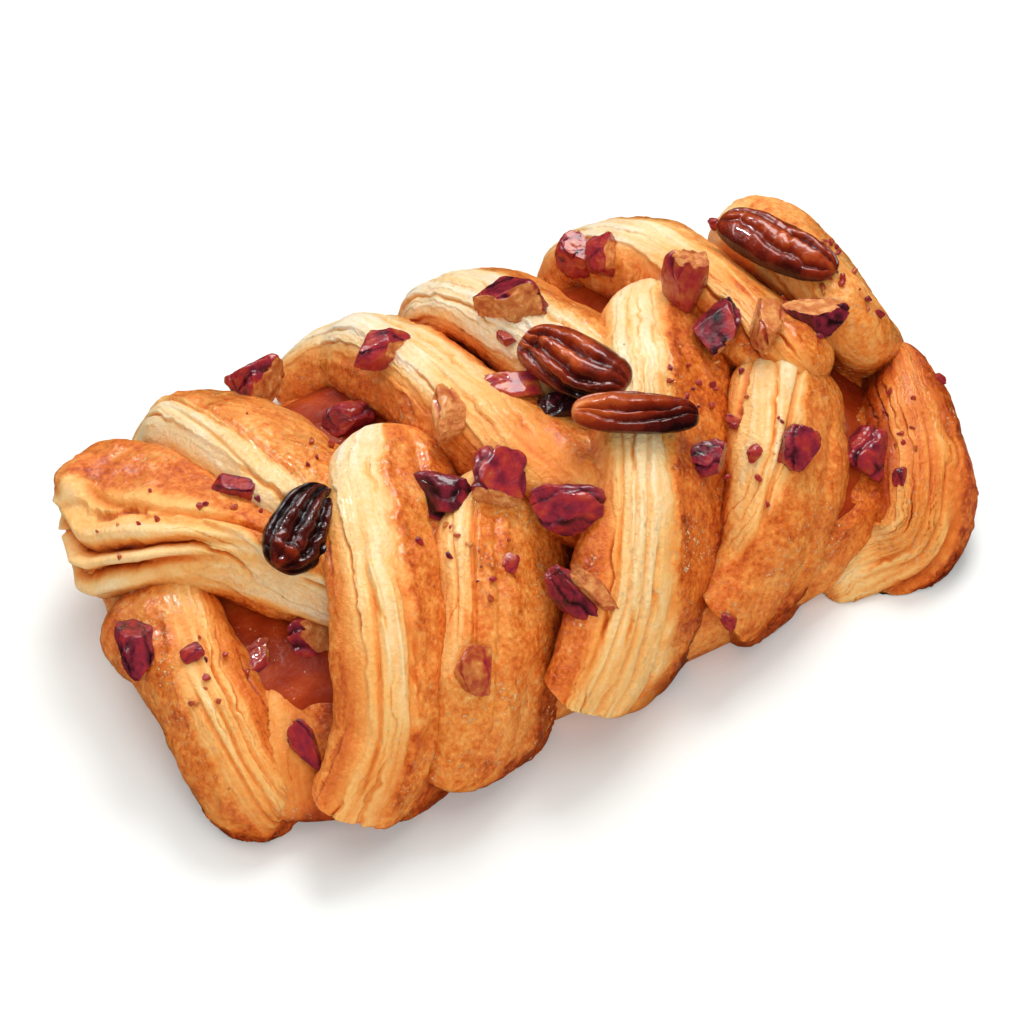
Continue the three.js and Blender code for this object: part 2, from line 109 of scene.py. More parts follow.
STRIPS = {
    "strip_end_near": strip(
        NEAR, -56, -18, 36, 20, 100, (13, 21, 20, 17, 15), (12, 18, 18, 16, 12), (-16, -24, -24, -14, 0),
        bow=0.15, spine=-25, near=9, flare=(1, 0.7, 0.7, 1, 1.5, 1.9), cut=-1,
        edge=(112, 98, 94, 100, 122, 128), hem=185, folds=11,
        depth=0.55, fine=0.3, bake=0.63, pale=(0.5, 0.44, 0.38, 0.42, 0.5),
        seams=((0.1, 120, 0.65, 116, -0.8, 3), (0.05, 138, 0.6, 132, -0.7, 2.5),
               (0.2, 150, 0.8, 150, -0.8, 3))),
    "strip_tongue": strip(
        NEAR, -57, 7, 40, 18, 64, (22, 26, 24), (9, 11, 9), (0, 12, 18),
        far=6, edge=(35, 35), hem=190, folds=3, depth=1.1, fine=0.15, bake=0.5, pale=(0.6, 0.52, 0.5)),
    "strip_far_2": strip(
        FAR, -41.5, 13, 46, 31.5, 106, (24, 25, 25, 22), (13, 15, 15, 12), (16, 24, 26, 22),
        bow=1.3, edge=(135, 132, 132, 128, 118, 100), folds=6, depth=0.8, fine=0.25, bake=0.54,
        pale=(0.16, 0.12, 0.2, 0.32),
        seams=((0.35, 128, 0.8, 120, -0.8, 3), (0.3, 150, 0.75, 150, -0.6, 2.5))),
    "strip_far_1": strip(
        FAR, -70, 38, 45, 31.5, 117, (13, 19, 19, 15, 12), (13, 16, 17, 16, 12), (-12, 0, 25, 36, 26),
        start=38, near=9, flare=(1.3, 2.1, 1.7, 0.8, 0.5, 0.6),
        edge=(128, 98, 97, 102, 148, 150, 140), hem=214, folds=4, depth=1.2, fine=0.26, bake=0.62,
        pale=(0.48, 0.4, 0.35, 0.18, 0.06),
        seams=((-0.06, 106, 0.17, 103, 3.6, 15), (-0.1, 126, 0.6, 140, 1.4, 8),
               (-0.1, 139, 0.6, 150, -2.0, 5.5), (-0.1, 153, 0.6, 160, 1.2, 7),
               (-0.1, 167, 0.6, 172, -1.9, 5.5), (-0.1, 182, 0.5, 186, 1.0, 7),
               (0.08, 103, 0.75, 127, -1.2, 3))),
    "strip_near_2": strip(
        NEAR, -27.5, 28, 45.5, 30, 84, (30, 31, 29, 22), (13, 15, 15, 12), (18, 24, 24, 20),
        near=5, edge=(206, 204, 160, 146, 140, 142), hem=206, folds=4, depth=0.7, fine=0.15, bake=0.58,
        pale=(0.5, 0.4, 0.28, 0.3, 0.3),
        seams=((0.34, 152, 0.85, 146, -1.3, 3), (0.15, 120, 0.8, 122, -0.8, 4),
               (0.4, 172, 0.8, 172, -0.6, 2))),
    "strip_near_1": strip(
        NEAR, -45.5, 28.5, 45, 33.5, 102, (42, 28, 27, 27, 23), (14, 16, 17, 16, 11), (14, 24, 30, 28, 24),
        bow=0.75, near=5, far=12, edge=(118, 114, 112, 112, 110, 100), hem=188, folds=6, depth=0.8,
        fine=0.22, bake=0.6, pale=(0.48, 0.4, 0.3, 0.18, 0.02),
        seams=((0.2, 82, 0.95, 87, -1.5, 3), (0.1, 150, 0.62, 150, -0.8, 2.5),
               (0.36, 139, 0.62, 143, 0.8, 2), (0.3, 127, 0.57, 130, 0.7, 2),
               (0.08, 112, 0.6, 119, -0.9, 2.5), (0.1, 95, 0.5, 97, 0.6, 2))),
    "strip_far_4": strip(
        FAR, 16, 12, 48, 33, 104, (28, 27, 25, 20), (13, 15, 15, 12), (16, 24, 24, 20),
        bow=2, edge=(100, 96, 95, 100), folds=6, depth=0.7, fine=0.25, bake=0.58, pale=(0.14, 0.08, 0.18)),
    "strip_far_3": strip(
        FAR, -8, 25, 49, 33.5, 124, (28, 28, 26, 24, 18), (13, 15, 16, 15, 11), (16, 24, 26, 24, 20),
        bow=2.6, flare=(1.25, 0.6, 0.5, 0.85, 1, 1), edge=(95, 90, 80, 78, 95, 110), hem=178, folds=6,
        depth=0.8, fine=0.25, bake=0.62, pale=(0.1, 0.06, 0.2, 0.55, 0.6)),
    "strip_near_4": strip(
        NEAR, 22, 34, 40, 29.5, 82, (38, 27, 26, 24), (13, 15, 16, 13), (16, 20, 22, 18),
        bow=0.6, near=5, edge=(206, 204, 170, 134, 114, 108, 104), hem=206, folds=4, depth=0.6, fine=0.2,
        bake=0.62, pale=(0.5, 0.4, 0.24, 0.22),
        seams=((0.36, 160, 0.98, 104, -1.2, 3), (0.2, 96, 0.8, 84, -0.7, 4),
               (0.5, 150, 0.95, 140, -0.6, 2))),
    "strip_near_3": strip(
        NEAR, -2, 45, 43, 33.5, 114, (48, 34, 30, 28, 22), (14, 17, 18, 16, 12), (20, 26, 30, 28, 22),
        bow=0.78, near=5, far=12, edge=(76, 88, 108, 112, 106, 98, 94), hem=178, folds=7, depth=0.55,
        fine=0.25, bake=0.7, pale=(0.32, 0.27, 0.22, 0.2, 0.22),
        seams=((0.1, 160, 0.65, 160, -0.8, 2), (0.05, 146, 0.6, 148, -0.7, 2),
               (0.05, 130, 0.62, 136, -0.8, 2), (0.02, 112, 0.4, 124, -0.9, 2),
               (0.02, 96, 0.3, 104, -0.9, 2))),
    "strip_end_far": strip(
        NEAR, 42.5, 35, 49, 19, 86, (21, 20, 20, 16, 7), (11, 15, 17, 16, 14), (10, 4, 0, 0, 0),
        bow=0.3, tuck=8, spine=-30, edge=(78, 82, 80, 78, 88, 100), hem=184, folds=12, depth=0.5, fine=0.3,
        bake=0.8, pale=(0.22, 0.34, 0.54, 0.62, 0.66),
        seams=((0.02, 90, 0.45, 84, -1.2, 3), (0.05, 104, 0.6, 96, -0.7, 2.5),
               (0.05, 120, 0.7, 112, -0.6, 2.5))),
    "strip_far_5": strip(
        FAR, 44.8, 12.2, 47, 33, 104, (28, 27, 25, 20), (13, 15, 15, 12), (16, 24, 24, 20),
        bow=2, flare=(1.15, 0.85, 0.62, 0.75, 1), edge=(105, 100, 96, 98, 130), hem=178, folds=6, depth=0.7,
        fine=0.2, bake=0.56, pale=(0.18, 0.14, 0.2, 0.46, 0.55)),
    "strip_far_6": strip(
        FAR, 76, -2.8, 31, 23.6, 108, (23, 30, 33, 26), (14, 15, 15, 12), (14, 14, 8, 4),
        edge=(150, 165, 178, 184, 205), hem=240, folds=4, depth=0.5, fine=0.15, bake=0.5,
        pale=(0.2, 0.3, 0.5)),
}


def hashed(cells, seed):
    """A repeatable number from 0 to 1 for each whole cell of a lattice, whose last axis is x, y, z."""
    x, y, z = (cells[..., k].astype(np.int64) for k in range(3))
    mixed = (x * 374761393 + y * 668265263 + z * 1103515245 + seed * 974634777) & 0xFFFFFFFF
    mixed = ((mixed ^ (mixed >> 13)) * 1274126177) & 0xFFFFFFFF
    return ((mixed ^ (mixed >> 16)) & 0xFFFFFF) / 0xFFFFFF


def hills(points, size, seed, octaves=1):
    """Soft random hills from -1 to 1. Each corner of a lattice of this size has a random height, and
    a point takes a smooth mix of its eight corners; each octave is half as wide and as strong."""
    total, weight = 0.0, 0.0
    for octave in range(octaves):
        place = points / size * 2 ** octave
        cell = np.floor(place)
        share = place - cell
        share = share ** 3 * (share * (share * 6 - 15) + 10)
        value = 0.0
        for corner in np.ndindex(2, 2, 2):
            near = np.where(corner, share, 1 - share).prod(axis=-1)
            value = value + near * hashed(cell + corner, seed + 31 * octave)
        total = total + (2 * value - 1) * 0.5 ** octave
        weight += 0.5 ** octave
    return total / weight


def blisters(points, size, seed, share=0.6):
    """Rounded bumps from 0 to 1: each cell of a lattice may hold one dome, with its own centre and
    radius, and a point takes the highest of the eight domes that can reach it."""
    place = points / size
    base = np.floor(place - 0.5)
    highest = np.zeros(points.shape[:-1])
    for corner in np.ndindex(2, 2, 2):
        cell = base + corner
        centre = cell + 0.5 + 0.4 * np.stack([hashed(cell, seed + k) - 0.5 for k in range(3)], axis=-1)
        radius = 0.22 + 0.26 * hashed(cell, seed + 3)
        dome = 1 - ((place - centre) ** 2).sum(axis=-1) / radius ** 2
        standing = (hashed(cell, seed + 4) < share) * radius * 2
        highest = np.maximum(highest, np.sqrt(np.clip(dome, 0, 1)) * standing)
    return highest


def ramp(values, t):
    """The values, evenly spaced along a strip, at shares t of its length."""
    return np.interp(t, np.linspace(0, 1, len(values)), values)


def signed_power(value, power):
    return np.sign(value) * np.abs(value) ** power


def smoothstep(low, high, value):
    share = np.clip((value - low) / (high - low), 0, 1)
    return share * share * (3 - 2 * share)


def unit(vectors):
    return vectors / np.linalg.norm(vectors, axis=-1, keepdims=True)


def strip_route(row):
    """The middle line of a strip's top: up the loaf's superelliptic flank in even steps of angle,
    moved along the loaf by lean times a power of the share climbed, and drawn in at the foot by tuck
    times the cube of the share left. Gives its points and how far along it each lies."""
    angle = np.radians(np.linspace(row["start"], row["reach"], ROUTE_POINTS))
    y = row["side"] * row["foot"] * signed_power(np.cos(angle), 2 / LOAF_POWER)
    z = row["crest"] * signed_power(np.sin(angle), 2 / LOAF_POWER)
    climbed = np.concatenate([[0], np.cumsum(np.hypot(np.diff(y), np.diff(z)))])
    share = climbed / climbed[-1]
    x = row["root"] + row["lean"] * share ** row["bow"]
    places = np.stack([x, y - row["side"] * row["tuck"] * (1 - share) ** 3, z], axis=1)
    walked = np.concatenate([[0], np.cumsum(np.linalg.norm(np.diff(places, axis=0), axis=1))])
    return places, walked


def strip_stations():
    """Shares along a strip, closer together towards both ends."""
    even = np.linspace(0, 1, STATIONS)
    return 0.6 * even + 0.2 * (1 - np.cos(np.pi * even))


def section_angles():
    """Section angles in radians: close together over the cut side and further apart over the skin."""
    first, last = CUT_FROM - CUT_BEFORE, CUT_TO + CUT_AFTER
    cut = np.linspace(first, last, CUT_POINTS, endpoint=False)
    skin = np.linspace(last, first + 360, SKIN_POINTS, endpoint=False)
    return np.radians(np.concatenate([cut, skin]))


def closing(distance, size):
    """The share of its full width that a strip has at this distance from an end."""
    return np.sqrt(1 - END_FALL * np.clip(1 - distance / size, 0, 1) ** END_POWER)


def strip_form(row, number):
    """A strip's smooth form: a superelliptic section carried along its route, square to the route
    and to the spine, then rolled. Gives the grid of points, its normals, the share of its full size,
    the shares along it, its length and its section angles."""
    places, walked = strip_route(row)
    length = walked[-1]
    t = strip_stations()

    def on_route(distance):
        return np.stack([np.interp(distance, walked, places[:, k]) for k in range(3)], axis=1)

    line = on_route(t * length)
    heading = unit(on_route(t * length + 0.5) - on_route(t * length - 0.5))
    spine = np.stack([np.clip(line[:, 0], -SPINE_REACH, SPINE_REACH), 0 * t, 0 * t + row["spine"]], axis=1)
    across = unit(np.cross(heading, unit(line - spine))) * -row["side"]
    up = unit(np.cross(across, heading)) * -row["side"]
    roll = np.radians(ramp(row["roll"], t))[:, None]
    right = across * np.cos(roll) - up * np.sin(roll)
    top = up * np.cos(roll) + across * np.sin(roll)
    end = closing(t * length, row["near"]) * closing((1 - t) * length, row["far"])
    waver = 1 + WAVER * np.sin(WAVER_WAVES * t + WAVER_SHIFT * number)
    half_width = ramp(row["width"], t) / 2 * end * waver
    half_thick = ramp(row["thick"], t) / 2 * end ** SLIMMING
    middle = line - top * (ramp(row["thick"], t) * SUNK)[:, None]
    angle = section_angles()
    u = signed_power(np.cos(angle), 2 / SIDE_POWER)
    v = signed_power(np.sin(angle), 2 / TOP_POWER)
    v = v + np.where(v > 0, CROWN * (1 - u * u), 0)
    sideways = row["cut"] * u * np.where(u < 0, ramp(row["flare"], t)[:, None], 1)
    grid = (middle[:, None]
            + right[:, None] * (half_width[:, None] * sideways)[..., None]
            + top[:, None] * (half_thick[:, None] * v)[..., None])
    return grid, grid_normals(grid), end, t, length, angle


def grid_normals(grid):
    """Outward normals of a closed tube of points: the cross product of its two directions, turned to
    point away from the tube's middle line."""
    round_it = np.roll(grid, -1, axis=1) - np.roll(grid, 1, axis=1)
    along_it = np.gradient(grid, axis=0)
    normals = np.cross(round_it, along_it)
    normals /= np.linalg.norm(normals, axis=-1, keepdims=True) + 1e-9
    outward = ((grid - grid.mean(axis=1, keepdims=True)) * normals).sum(axis=-1).mean()
    return normals * np.sign(outward)


def sheets(across, walked, count, seed):
    """Stacked sheets seen edge on. The place across them wanders gently as it runs along. Each sheet
    rises from the one below to a crisp edge, to a random height that changes along it, and narrow
    gaps part some of them. Gives height and gap."""
    drift = np.stack([walked / 42, across * 1.6, 0 * across + seed], axis=-1)
    spread = np.stack([0 * across + seed, across * 0.45 * count, walked / 90], axis=-1)
    place = across * count + 0.045 * count * hills(drift, 1, seed) + 0.7 * hills(spread, 1, seed + 5)
    index = np.floor(place)
    share = place - index

    def level(step):
        return hills(np.stack([(index + step) * 7 + 0.5, walked / 16, 0 * across], axis=-1), 1, seed + 9, 2)

    gap = hills(np.stack([index * 5 + 0.5, walked / 13, 0 * across + 3], axis=-1), 1, seed + 13, 2)
    groove = np.exp(-((share - 0.06) / 0.1) ** 2) * smoothstep(-0.05, 0.45, gap)
    step = smoothstep(0, 0.14, share)
    height = level(-1) * (1 - step) + level(0) * step + 0.5 * (share - 0.5) * step
    return height, groove


def seam(row_seam, t, degrees, walked, seed):
    """A ridge or crevice along a strip: a bell-shaped profile about a line between two places, which
    wanders a little and fades at both ends."""
    first, angle_first, last, angle_last, height, spread = row_seam
    share = (t - first) / (last - first)
    line = angle_first + (angle_last - angle_first) * share
    wander = 3 * hills(np.stack([walked / 13, 0 * walked, 0 * walked + seed], axis=-1), 1, seed, 2)
    fade = smoothstep(-0.05, 0.25, share) * (1 - smoothstep(0.75, 1.05, share))
    return height * fade * np.exp(-((degrees - line - wander) / spread) ** 2)


def baked_strip(row, number):
    """One strip with its crust: its form pushed out by folds, fine sheets and seams on the cut side,
    by blisters and soft hills on the skin, and by a lip where the skin ends over the cut side."""
    grid, normals, end, t, length, angle = strip_form(row, number)
    seed = 100 * number
    walked = (t * length)[:, None] + 0 * angle[None]
    flat = 0 * walked
    degrees = np.degrees(angle)[None] + flat
    ragged = (5 * hills(np.stack([walked, flat, flat], axis=-1), 11, seed + 40, octaves=3)
              + 4 * hills(np.stack([walked, degrees / 6, flat], axis=-1), 2.5, seed + 41, octaves=2))
    edge, hem = ramp(row["edge"], t)[:, None] + ragged, row["hem"]
    across = (degrees - edge) / (hem - edge)
    cut = smoothstep(edge - 1.5, edge + 2.5, degrees) * (1 - smoothstep(hem - 6, hem + 7, degrees))
    layer = (degrees - edge) / CUT_SPAN
    fold, fold_gap = sheets(layer, walked, 0.8 * row["folds"], seed + 1)
    sheet, sheet_gap = sheets(layer, walked, 2.9 * row["folds"], seed + 2)
    seams = sum(seam(one, t[:, None], degrees, walked, seed + 60 + k) for k, one in enumerate(row["seams"]))
    patch = smoothstep(-0.6, 0.5, hills(grid, 14, seed + 3))
    swell = hills(grid, 13, seed + 4, octaves=2)
    bump = blisters(grid, 5, seed + 5) * smoothstep(-0.2, 0.7, hills(grid, 14, seed + 6))
    pimple = blisters(grid, 1.7, seed + 7, share=0.55) * smoothstep(-0.6, 0.4, hills(grid, 9, seed + 13))
    lip = np.exp(-((degrees - edge + 4) / 4.5) ** 2) * (0.5 + 0.5 * hills(grid, 7, seed + 8))
    relief = (1.0 * swell + seams
              + cut * (row["depth"] * (0.8 * fold - 0.9 * fold_gap)
                       + row["fine"] * (sheet - 1.3 * sheet_gap) * patch)
              + (1 - cut) * (0.35 * bump + 0.28 * pimple + 0.45 * hills(grid, 3.2, seed + 9, octaves=3))
              + 0.5 * lip)
    grid = grid + normals * (relief * end[:, None] ** 3)[..., None]
    depth = np.clip(-grid[..., 2], 0, None)
    grid[..., :2] -= normals[..., :2] * np.minimum(2.5 * depth, 7)[..., None]
    grid[..., 2] = np.maximum(grid[..., 2], 0)

    foot = 1 - smoothstep(1, 11, grid[..., 2])
    mottle = hills(grid, 8, seed + 10, octaves=3)
    toasted = smoothstep(0.1, 0.7, hills(grid, 5, seed + 12, octaves=2))
    streak = hills(np.stack([walked / 15, degrees / 9, flat], axis=-1), 1, seed + 14, octaves=3)
    shown = (smoothstep(edge - 9, edge + 11, degrees + 12 * streak)
             * (1 - smoothstep(-14, 16, degrees - hem)))
    skin_bake = row["bake"] + 0.11 * mottle + 0.06 * bump + 0.06 * pimple + 0.07 * toasted + 0.05 * streak
    # The cut side is darker in gaps between folds and sheets and in crevices, and lighter on raised folds
    # and ridges: partly more baked, partly painted shade and light
    cut_bake = (ramp(row["pale"], t)[:, None] + 0.07 * mottle + 0.15 * streak + 0.3 * fold_gap
                + 0.22 * sheet_gap * patch - 0.07 * fold - 0.06 * sheet * patch
                - 0.14 * np.clip(seams, -2, 0.8) + 0.3 * smoothstep(0.65, 1, across) + 0.06 * foot)
    bake = shown * cut_bake + (1 - shown) * skin_bake + 0.1 * lip
    glaze = (1 - 0.6 * cut) * smoothstep(-0.6, 0.4, hills(grid, 12, seed + 11, octaves=2))
    return grid, {"bake": bake, "glaze": glaze, "cut": cut}


# The map of the crust's height: its step in millimetres, its cells and its smoothing in cells
MAP_STEP = 0.6
MAP_CELLS = (300, 200)
MAP_BLUR = 7


def crust_tops(grids):
    """A map of how high the crust stands over a fine lattice."""
    highest = np.zeros(MAP_CELLS)
    for grid in grids:
        np.maximum.at(highest, map_cell(grid), grid[..., 2])
    return highest


def crust_top(tops, x, y):
    """The height of the crust at a place: the highest of the nine cells about it."""
    i, j = map_cell(np.array([x, y]))
    return tops[i - 1:i + 2, j - 1:j + 2].max()


def steepness(tops, x, y):
    """How much the crust's height differs between four places 1.5 mm about this one."""
    return np.ptp([crust_top(tops, x + step, y + aside)
                   for step, aside in ((1.5, 0), (-1.5, 0), (0, 1.5), (0, -1.5))])


def smoothed(tops):
    """The same map, averaged over a few millimetres."""
    for axis in (0, 1):
        shifted = [np.roll(tops, step, axis=axis) for step in range(-MAP_BLUR, MAP_BLUR + 1)]
        tops = np.mean(shifted, axis=0)
    return tops


def map_cell(points):
    """The map's cell over each point."""
    x = ((points[..., 0] + MAP_CELLS[0] * MAP_STEP / 2) / MAP_STEP).astype(int).clip(0, MAP_CELLS[0] - 1)
    y = ((points[..., 1] + MAP_CELLS[1] * MAP_STEP / 2) / MAP_STEP).astype(int).clip(0, MAP_CELLS[1] - 1)
    return x, y


def pooled(grid, values, heights):
    """The same values with what lies low between its neighbours made darker and glossier: partly
    glaze pooled there and more baked, partly painted shade in the valleys between the strips.
    """
    x, y = map_cell(grid)
    # Low places between the strips get darker: partly pooled glaze, partly painted shade
    low = smoothstep(0.5, 6, heights[x, y] - grid[..., 2])
    bake = values["bake"] + 0.3 * low * (1 - 0.4 * values["bake"])
    return {"bake": bake, "glaze": np.maximum(values["glaze"], 0.8 * low), "cut": values["cut"]}


def tube_faces(stations, round_count):
    """Quads and the two end fans of a tube of points, whose two poles follow its points."""
    i, j = np.meshgrid(np.arange(stations - 1), np.arange(round_count), indexing="ij")
    k = (j + 1) % round_count
    quads = np.stack([i * round_count + j, i * round_count + k,
                      (i + 1) * round_count + k, (i + 1) * round_count + j], axis=-1).reshape(-1, 4)
    ring = np.arange(round_count)
    onward = (ring + 1) % round_count
    last = (stations - 1) * round_count
    pole = stations * round_count
    fans = np.concatenate([
        np.stack([onward, ring, 0 * ring + pole], axis=1),
        np.stack([last + ring, last + onward, 0 * ring + pole + 1], axis=1)])
    return quads, fans


def tube(grid, values):
    """A closed tube from a grid of points: its points with two poles, its faces and its values."""
    stations, round_count = grid.shape[:2]
    poles = np.stack([grid[0].mean(axis=0), grid[-1].mean(axis=0)])
    points = np.concatenate([grid.reshape(-1, 3), poles])
    quads, fans = tube_faces(stations, round_count)
    full = {key: np.concatenate([value.ravel(), [value[0].mean(), value[-1].mean()]])
            for key, value in values.items()}
    return turned_out(points, quads, fans) + (full,)


def turned_out(points, quads, fans):
    """The same closed body with its faces pointing out, by the sign of its volume."""
    corners = [quads[:, [0, 1, 2]], quads[:, [0, 2, 3]], fans]
    a, b, c = (points[np.concatenate([part[:, k] for part in corners])] for k in range(3))
    if (a * np.cross(b, c)).sum() < 0:
        quads, fans = quads[:, ::-1], fans[:, ::-1]
    return points, quads, fans


def joined(bodies):
    """Several bodies as one."""
    points, quads, fans, values, offset = [], [], [], [], 0
    for body in bodies:
        points.append(body[0])
        quads.append(body[1] + offset)
        fans.append(body[2] + offset)
        values.append(body[3])
        offset += len(body[0])
    full = {key: np.concatenate([value[key] for value in values]) for key in values[0]}
    return np.concatenate(points), np.concatenate(quads), np.concatenate(fans), full


def piece(name, body, finish, slot, *nodes):
    """A mesh object at the origin from a body in millimetres, with its values as attributes, riding
    on the pastry and standing for these nodes."""
    points, quads, fans, values = body
    mesh = bpy.data.meshes.new(name)
    corners = np.concatenate([quads.ravel(), fans.ravel()]).astype(np.int32)
    starts = np.concatenate([4 * np.arange(len(quads)), 4 * len(quads) + 3 * np.arange(len(fans))])
    mesh.vertices.add(len(points))
    mesh.vertices.foreach_set("co", ((points - CENTRE) * MM).astype(np.float32).ravel())
    mesh.loops.add(len(corners))
    mesh.loops.foreach_set("vertex_index", corners)
    mesh.polygons.add(len(starts))
    mesh.polygons.foreach_set("loop_start", starts.astype(np.int32))
    mesh.update(calc_edges=True)
    mesh.shade_smooth()
    for key, value in values.items():
        mesh.attributes.new(key, "FLOAT", "POINT").data.foreach_set("value", value.astype(np.float32))
    mesh.materials.append(finish)
    made = bpy.data.objects.new(name, mesh)
    bpy.context.scene.collection.objects.link(made)
    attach(made, "root")
    if nodes:
        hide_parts(*nodes)
    return made


class Wire:
    """An output socket of a finish, on which arithmetic adds Math nodes."""

    def __init__(self, finish, socket):
        self.finish = finish
        self.socket = socket

    def maths(self, operation, first, second):
        return self.finish.node("ShaderNodeMath", {"operation": operation}, {0: first, 1: second})

    def __add__(self, other):
        return self.maths("ADD", self, other)

    def __sub__(self, other):
        return self.maths("SUBTRACT", self, other)

    def __rsub__(self, other):
        return self.maths("SUBTRACT", other, self)

    def __mul__(self, other):
        return self.maths("MULTIPLY", self, other)

    __radd__ = __add__
    __rmul__ = __mul__


class Finish:
    """A material with a principled shader, whose constant sockets are set by name."""

    def __init__(self, name, constants):
        self.material = bpy.data.materials.new(name)
        self.material.use_nodes = True
        self.tree = self.material.node_tree
        self.shader = self.tree.nodes["Principled BSDF"]
        for socket, value in constants.items():
            self.shader.inputs[socket].default_value = value

    def node(self, kind, settings, inputs, output=0):
        """A node of this type: its settings are set first, then its sockets take values or wires."""
        made = self.tree.nodes.new(kind)
        for key, value in settings.items():
            if key == "stops":
                set_stops(made.color_ramp, value)
            else:
                setattr(made, key, value)
        for key, value in inputs.items():
            self.plug(made.inputs[key], value)
        return Wire(self, made.outputs[output])

    def plug(self, socket, value):
        if isinstance(value, Wire):
            self.tree.links.new(value.socket, socket)
        else:
            socket.default_value = value

    def place(self):
        return self.node("ShaderNodeTexCoord", {}, {}, "Object")

    def value(self, name):
        return self.node("ShaderNodeAttribute", {"attribute_name": name}, {}, "Fac")

    def noise(self, scale, detail=2.0, rough=0.5):
        """Noise from 0 to 1 with hills this many to the metre."""
        inputs = {"Vector": self.place(), "Scale": scale, "Detail": detail, "Roughness": rough}
        return self.node("ShaderNodeTexNoise", {}, inputs, "Fac")

    def dots(self, scale, size, share):
        """Round dots, this many to the metre: 1 within this distance of a cell's point in cell widths,
        in the cells whose random value is over this share."""
        cells = self.node("ShaderNodeTexVoronoi", {}, {"Vector": self.place(), "Scale": scale}, "Distance")
        chance = Wire(self, cells.socket.node.outputs["Color"])
        return self.within(size, 0.6 * size, cells) * self.within(share, share + 0.05, chance)

    def within(self, low, high, value):
        """0 below low, 1 above high, and smooth between."""
        return self.node("ShaderNodeMapRange", {"interpolation_type": "SMOOTHSTEP"},
                         {"Value": value, "From Min": low, "From Max": high})

    def mixed(self, share, first, second):
        return self.node("ShaderNodeMix", {"data_type": "RGBA"}, {0: share, 6: first, 7: second}, 2)

    def colours(self, value, stops):
        return self.node("ShaderNodeValToRGB", {"stops": stops}, {"Fac": value})

    def bumped(self, height, distance, strength=1.0, under=None):
        inputs = {"Height": height, "Distance": distance, "Strength": strength}
        if under:
            inputs["Normal"] = under
        return self.node("ShaderNodeBump", {}, inputs)

    def show(self, **wires):
        for socket, value in wires.items():
            self.plug(self.shader.inputs[socket.replace("_", " ")], value)
        return self.material


def set_stops(colour_ramp, stops):
    """The ramp's stops, as (place, colour) from first to last."""
    elements = colour_ramp.elements
    while len(elements) < len(stops):
        elements.new(1)
    for element, (place, colour) in zip(elements, stops):
        element.position = place
        element.color = colour


def screen(red, green, blue):
    """A colour as seen on screen, from 0 to 255, as the linear colour that shaders take."""
    seen = np.array([red, green, blue]) / 255
    linear = np.where(seen <= 0.04045, seen / 12.92, ((seen + 0.055) / 1.055) ** 2.4)
    return (*linear.tolist(), 1)


# The crust's colours, from raw to dark
DOUGH_STOPS = [
    (0.0, screen(250, 232, 204)), (0.16, screen(249, 215, 162)), (0.34, screen(248, 188, 110)),
    (0.5, screen(240, 154, 70)), (0.66, screen(222, 114, 36)), (0.82, screen(182, 70, 18)),
    (1.0, screen(112, 34, 12)),
]


def dough_finish():
    """Baked laminated dough: cream through orange to brown by its bake value, which also carries painted
    shade in grooves and valleys, mottled, with a thin grainy glaze whose crystals are pale specks in
    patches, partly sugar and partly painted glints."""
    finish = Finish("baked_dough", {"Specular IOR Level": 0.4, "Subsurface Weight": 0.3,
                                    "Subsurface Radius": (1, 0.5, 0.25), "Subsurface Scale": 0.0025,
                                    "Coat Roughness": 0.16})
    bake = finish.value("bake")
    glaze = finish.value("glaze")
    skin = 1 - finish.value("cut")
    speck = finish.noise(1100, 3, 0.65) - 0.5
    cloud = finish.noise(380, 4, 0.6) - 0.5
    tone = bake + cloud * (skin * 0.3 + 0.16) + speck * (skin * 0.4 + 0.2)
    colour = finish.colours(tone, DOUGH_STOPS)
    pits = finish.dots(850, 0.3, 0.9)
    colour = finish.mixed(pits * 0.6, colour, screen(168, 62, 22))
    # Pale specks in glazed patches, partly sugar crystals and partly painted glints in the base colour
    patch = finish.within(0.46, 0.58, finish.noise(130, 4, 0.6)) * glaze
    crystal = finish.within(0.59, 0.64, finish.noise(1300, 3, 0.7)) * patch
    colour = finish.mixed(crystal * 0.9, colour, screen(255, 228, 176))
    rough = 0.54 - glaze * 0.3
    normal = finish.bumped(finish.noise(750, 4, 0.65), 0.001, 0.7)
    normal = finish.bumped(crystal, 0.0005, 1.0, normal)
    return finish.show(Base_Color=colour, Roughness=rough, Coat_Weight=glaze * 0.6, Normal=normal)


def oval(half, power, count):
    """A superelliptic outline: half its length times the cosine, and half its width times the sine,
    of an even angle, both to the power 2 / power with their signs kept. Gives angle, x and y."""
    angle = np.linspace(0, 2 * np.pi, count, endpoint=False)
    x = half[0] * signed_power(np.cos(angle), 2 / power)
    y = half[1] * signed_power(np.sin(angle), 2 / power)
    return angle, x, y


# The bed: half its length and width, its outline's power, how far it lies off the middle, then the
# heights up its side with the share of its size at each. A whole share counts as BED_STRIDE mm when
# its rings are spaced, and it has so many rings of so many points.
BED_HALF, BED_POWER, BED_ASIDE = (73, 39.5), 3.5, -0.5
BED_HEIGHTS = (0, 0, 0, 3, 8, 13, 16.5, 17)
BED_SHARES = (0.02, 0.9, 0.97, 1, 1, 0.96, 0.84, 0.5)
BED_STRIDE, BED_RINGS, BED_ROUND = 40, 120, 300


